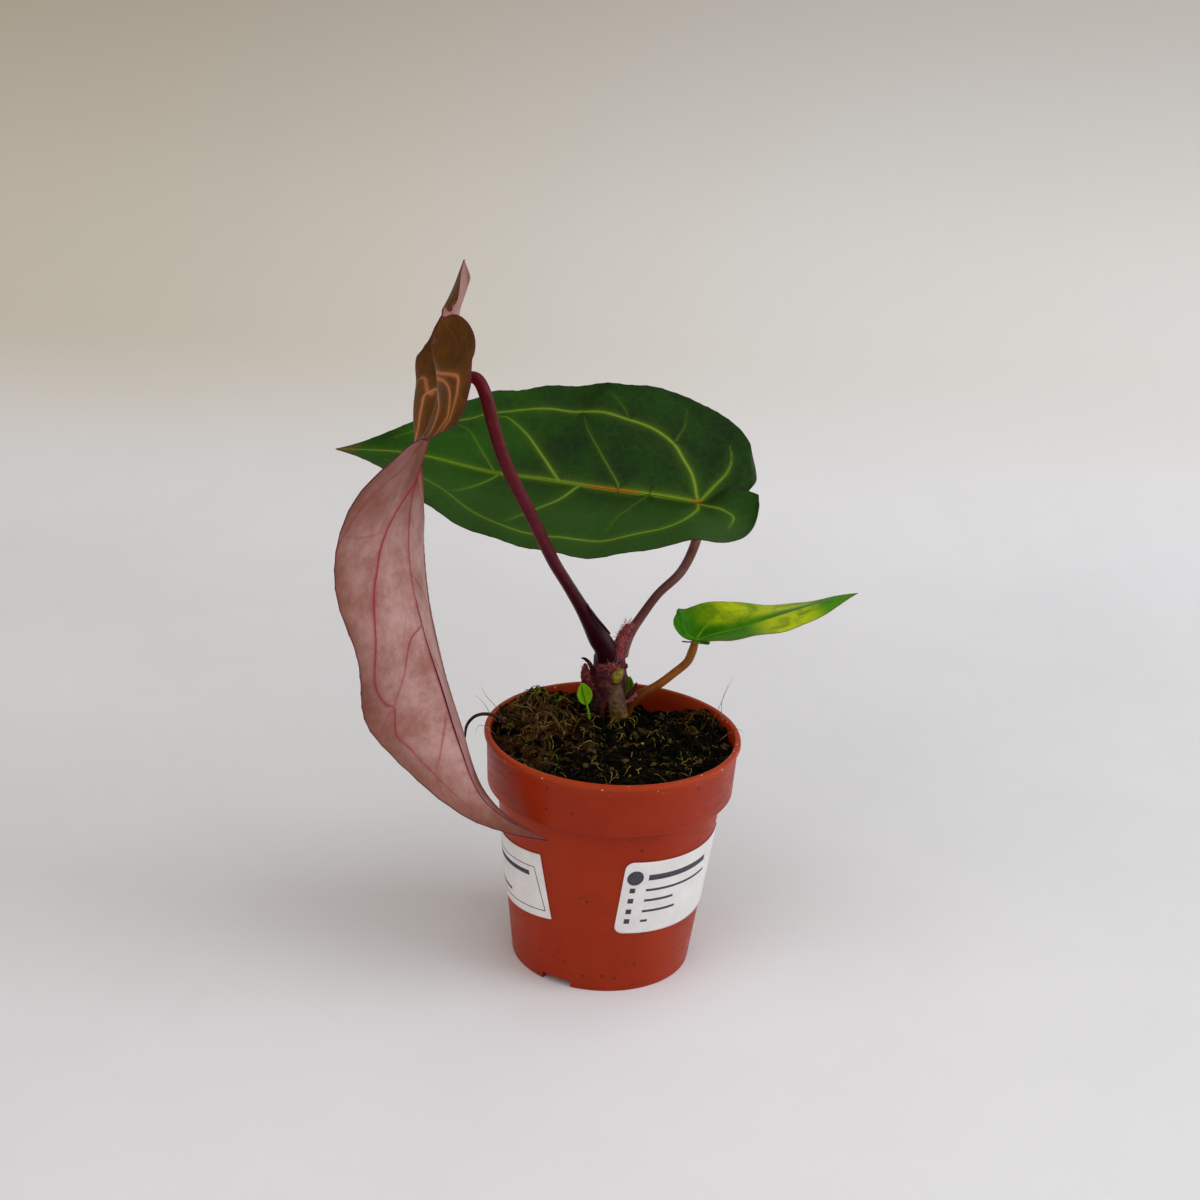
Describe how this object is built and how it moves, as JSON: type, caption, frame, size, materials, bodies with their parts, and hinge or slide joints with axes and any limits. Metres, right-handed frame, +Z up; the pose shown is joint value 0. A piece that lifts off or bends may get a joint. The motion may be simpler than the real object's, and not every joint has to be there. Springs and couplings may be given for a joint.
{
  "type": "potted anthurium hybrid",
  "caption": "Young anthurium hybrid with a hanging copper leaf, a dark green leaf and a small leaf on a short stem, in a labelled nursery pot of peat.",
  "frame": {"origin": "on the ground under the middle of the whole plant's box", "axes": "+Z up along the pot's axis, -Y towards the side that the picture shows, +X to the right in it"},
  "size_m": [0.2526, 0.1688, 0.3356],
  "materials": {
    "pot": "smooth terracotta-coloured plastic, half matt",
    "soil": "dark fibrous peat",
    "root": "dry dark root",
    "stem": "purple-brown knobbly stem",
    "petiole_dark": "maroon leaf stalk, satin",
    "petiole_brown": "brown leaf stalk, satin",
    "blade_copper": "young copper and dusty pink leaf, satin",
    "blade_green": "dark green velvety leaf with light veins",
    "blade_lime": "green leaf clouded with yellow-green",
    "seedling": "bright green thin leaf",
    "label": "white paper, half matt"
  },
  "bodies": {
    "root": {"pot": "pot", "soil": "soil", "rim_root": "root", "stem": "stem", "petiole_tall": "petiole_dark", "petiole_mid": "petiole_brown", "petiole_low": "petiole_brown", "blade_tall": "blade_copper", "blade_mid": "blade_green", "blade_low": "blade_lime", "seedling_left": "seedling", "seedling_right": "seedling", "label_left": "label", "label_right": "label"}
  },
  "joints": []
}
